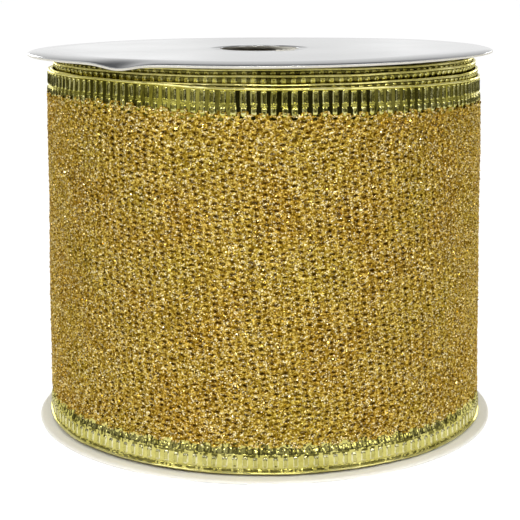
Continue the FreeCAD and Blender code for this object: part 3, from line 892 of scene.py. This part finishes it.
# ------------------------------------------------------------------ core and what holds the ribbon
for n_, mat in (("core_tube", KRAFT), ("top_glue_bead", GLUE), ("bottom_glue_bead", GLUE), ("ribbon_start_tape", CREPE)):
    ob = frame["nodes"][n_]
    ob.data.materials.clear()
    ob.data.materials.append(mat)

# ------------------------------------------------------------------ closure tape over the tail's end
t_lo, t_hi = (mm(p_) for p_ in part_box("closure_tape"))
ta = np.linspace(-9.0, 8.0, 35)          # degrees past the cut end
tz = np.linspace(t_lo[2], t_hi[2], 19)
A, ZZ = np.meshgrid(ta, tz, indexing="ij")
edge = 0.25 * (np.abs((ZZ / 1.7) % 1.0 - 0.5) * 2)
A = A + np.where(A <= -8.99, -0.5 * edge, 0) + np.where(A >= 7.99, 0.5 * edge, 0)
hgt = zrim(0.0) - ZZ
on_tail = radius(-A, hgt) + 0.34
off_tail = radius(360.0 - A, hgt) + 0.30
w = smooth01((A + 0.3) / 2.2)
rr = on_tail * (1 - w) + off_tail * w
ph = np.radians(PHI_END + A)
outer = np.stack([rr * np.cos(ph), rr * np.sin(ph), ZZ], -1).reshape(-1, 3)
inner = np.stack([(rr - 0.06) * np.cos(ph), (rr - 0.06) * np.sin(ph), ZZ], -1).reshape(-1, 3)
nu, nv = A.shape
f1 = grid_faces(nu, nv)
f2 = f1[:, ::-1] + nu * nv
loop = [i * nv for i in range(nu)] + [(nu - 1) * nv + j for j in range(1, nv)] + [i * nv + nv - 1 for i in range(nu - 2, -1, -1)] + [j for j in range(nv - 2, 0, -1)]
sk = [[loop[k], loop[k - 1], loop[k - 1] + nu * nv, loop[k] + nu * nv] for k in range(len(loop))]
tp = add_mesh("closure_tape_strip", np.concatenate([outer, inner]), [f1, f2, np.array(sk)], [TAPE])
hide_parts("closure_tape")
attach(tp, "tail_end")

# ------------------------------------------------------------------ studio
def floor_material():
    m, nt, b = new_mat("studio_floor")
    co = objco(nt)
    n = noise(nt, co, 3.0, 2.0)
    nt.links.new(ramp(nt, n.outputs["Fac"], [(0.3, (0.24, 0.24, 0.24)), (0.7, (0.26, 0.26, 0.26))]), b.inputs["Base Color"])
    b.inputs["Roughness"].default_value = 0.9
    b.inputs["Specular IOR Level"].default_value = 0.1
    b.inputs["Emission Color"].default_value = (1.0, 1.0, 1.0, 1.0)
    b.inputs["Emission Strength"].default_value = 0.93
    return m


fl = add_mesh("studio_floor", np.array([(-420, -430, -0.05), (420, -430, -0.05), (420, 3000, -0.05), (-420, 3000, -0.05)]), np.array([[0, 1, 2, 3]]), [floor_material()], smooth=False)

world = bpy.data.worlds.new("studio")
bpy.context.scene.world = world
world.use_nodes = True
wt = world.node_tree
for n_ in list(wt.nodes):
    wt.nodes.remove(n_)
out = wt.nodes.new("ShaderNodeOutputWorld")
bg_cam = wt.nodes.new("ShaderNodeBackground")
bg_cam.inputs["Color"].default_value = (1, 1, 1, 1)
bg_cam.inputs["Strength"].default_value = 1.0
bg_env = wt.nodes.new("ShaderNodeBackground")
bg_env.inputs["Strength"].default_value = 0.62
tc = wt.nodes.new("ShaderNodeTexCoord")
sx = wt.nodes.new("ShaderNodeSeparateXYZ")
wt.links.new(tc.outputs["Generated"], sx.inputs[0])
# the room by direction: azimuth from the front, and height above the horizon
def wmath(op, a_, b_=None):
    n_ = wt.nodes.new("ShaderNodeMath")
    n_.operation = op
    for k_, v_ in enumerate((a_, b_)):
        if v_ is None:
            continue
        if hasattr(v_, "is_output"):
            wt.links.new(v_, n_.inputs[k_])
        else:
            n_.inputs[k_].default_value = v_
    return n_.outputs[0]


def wramp(fac, stops):
    return ramp(wt, fac, [(p_, (c_, c_, c_)) for p_, c_ in stops])


az_ = wmath("ARCTAN2", sx.outputs["X"], wmath("MULTIPLY", sx.outputs["Y"], -1.0))
az01 = wmath("ADD", wmath("MULTIPLY", az_, 1.0 / (2 * math.pi)), 0.5)


def A01(deg):
    return deg / 360.0 + 0.5


low = wramp(az01, [(A01(d_), c_) for d_, c_ in (
    (-180, 0.76), (-165, 0.90), (-152, 0.88), (-144, 0.22), (-118, 0.12), (-112, 0.35), (-104, 0.07), (-66, 0.09), (-58, 0.66), (-36, 0.60), (-29, 0.10), (-20, 0.50), (-14, 0.02),
    (60, 0.03), (66, 0.30), (74, 0.26), (80, 0.06), (100, 0.12), (108, 0.65), (116, 0.20), (144, 0.22), (152, 0.88), (165, 0.90), (180, 0.76))])
glow = wmath("MULTIPLY",
             wramp(az01, [(A01(d_), c_) for d_, c_ in ((-178.4, 0.0), (-176.4, 1.0), (-172.6, 1.0), (-170.8, 0.0), (172.6, 0.0), (173.6, 1.0), (175.2, 1.0), (176.2, 0.0))]),
             wramp(sx.outputs["Z"], [(math.sin(math.radians(e_)), c_) for e_, c_ in ((2.05, 0.0), (2.35, 1.0), (2.95, 1.0), (3.25, 0.0))]))
low = mix(wt, glow, low, (1.0, 1.0, 1.0))
mid_ = wramp(az01, [(A01(d_), c_) for d_, c_ in (
    (-180, 0.40), (-164, 0.42), (-154, 0.70), (-112, 0.66), (-98, 0.30), (-20, 0.42), (0, 0.36), (20, 0.42), (28, 0.70), (66, 0.70), (78, 0.45), (130, 0.45), (164, 0.42), (180, 0.40))])
behind = wramp(az01, [(A01(d_), c_) for d_, c_ in ((-166, 1.0), (-154, 0.0), (154, 0.0), (166, 1.0))])
up1 = mix(wt, behind, wramp(sx.outputs["Z"], [(math.sin(math.radians(6.0)), 0.0), (math.sin(math.radians(15.0)), 1.0)]),
          wramp(sx.outputs["Z"], [(math.sin(math.radians(3.5)), 0.0), (math.sin(math.radians(5.2)), 0.5), (math.sin(math.radians(10.0)), 0.8), (math.sin(math.radians(16.0)), 1.0)]))
up2 = mix(wt, behind, wramp(sx.outputs["Z"], [(math.sin(math.radians(42.0)), 0.0), (math.sin(math.radians(60.0)), 1.0)]),
          wramp(sx.outputs["Z"], [(math.sin(math.radians(16.0)), 0.0), (math.sin(math.radians(34.0)), 1.0)]))
room = mix(wt, up2, mix(wt, up1, low, mid_), (0.05, 0.052, 0.058))
wt.links.new(room, bg_env.inputs["Color"])
bg_env.inputs["Strength"].default_value = 1.0
lp = wt.nodes.new("ShaderNodeLightPath")
mx = wt.nodes.new("ShaderNodeMixShader")
wt.links.new(lp.outputs["Is Camera Ray"], mx.inputs[0])
wt.links.new(bg_env.outputs[0], mx.inputs[1])
wt.links.new(bg_cam.outputs[0], mx.inputs[2])
wt.links.new(mx.outputs[0], out.inputs["Surface"])


def area(name, loc, target, size, power, color=(1, 1, 1)):
    d = bpy.data.lights.new(name, "AREA")
    d.shape = "RECTANGLE"
    d.size, d.size_y = size
    d.energy = power
    d.color = color
    o = bpy.data.objects.new(name, d)
    bpy.context.scene.collection.objects.link(o)
    o.location = loc
    o.rotation_euler = (Vector(target) - Vector(loc)).to_track_quat("-Z", "Y").to_euler()
    o.visible_camera = False
    return o


area("key_left", (-0.42, -0.34, 0.40), (0, 0, 0.035), (0.30, 0.34), 1.15, (1.0, 0.99, 0.97))
area("key_right", (0.46, -0.30, 0.34), (0, 0, 0.035), (0.26, 0.34), 0.62, (1.0, 0.99, 0.97))
area("front_top", (0.05, -0.46, 0.34), (0, 0, 0.035), (0.26, 0.055), 0.95, (1.0, 0.98, 0.94))
area("top", (0.0, 0.05, 0.62), (0, 0, 0.04), (0.5, 0.5), 1.1)
area("back_left", (-0.30, 0.55, 0.12), (0, 0, 0.05), (0.25, 0.2), 0.5)
area("back_right", (0.34, 0.55, 0.12), (0, 0, 0.05), (0.2, 0.2), 0.4)

cam_d = bpy.data.cameras.new("camera")
cam_d.sensor_fit = "HORIZONTAL"
cam_d.sensor_width = 36.0
cam_d.lens = 1425.3 / 520.0 * 36.0
cam_d.clip_start = 0.01
cam_d.clip_end = 20.0
cam = bpy.data.objects.new("camera", cam_d)
bpy.context.scene.collection.objects.link(cam)
cam.location = (-0.00037, -0.25684, 0.08390)
cam.rotation_euler = (math.radians(90.0 - 12.288), math.radians(0.229), 0.0)
bpy.context.scene.camera = cam
bpy.context.scene.view_settings.view_transform = "Standard"
bpy.context.scene.view_settings.look = "None"
bpy.context.scene.view_settings.exposure = 0.0
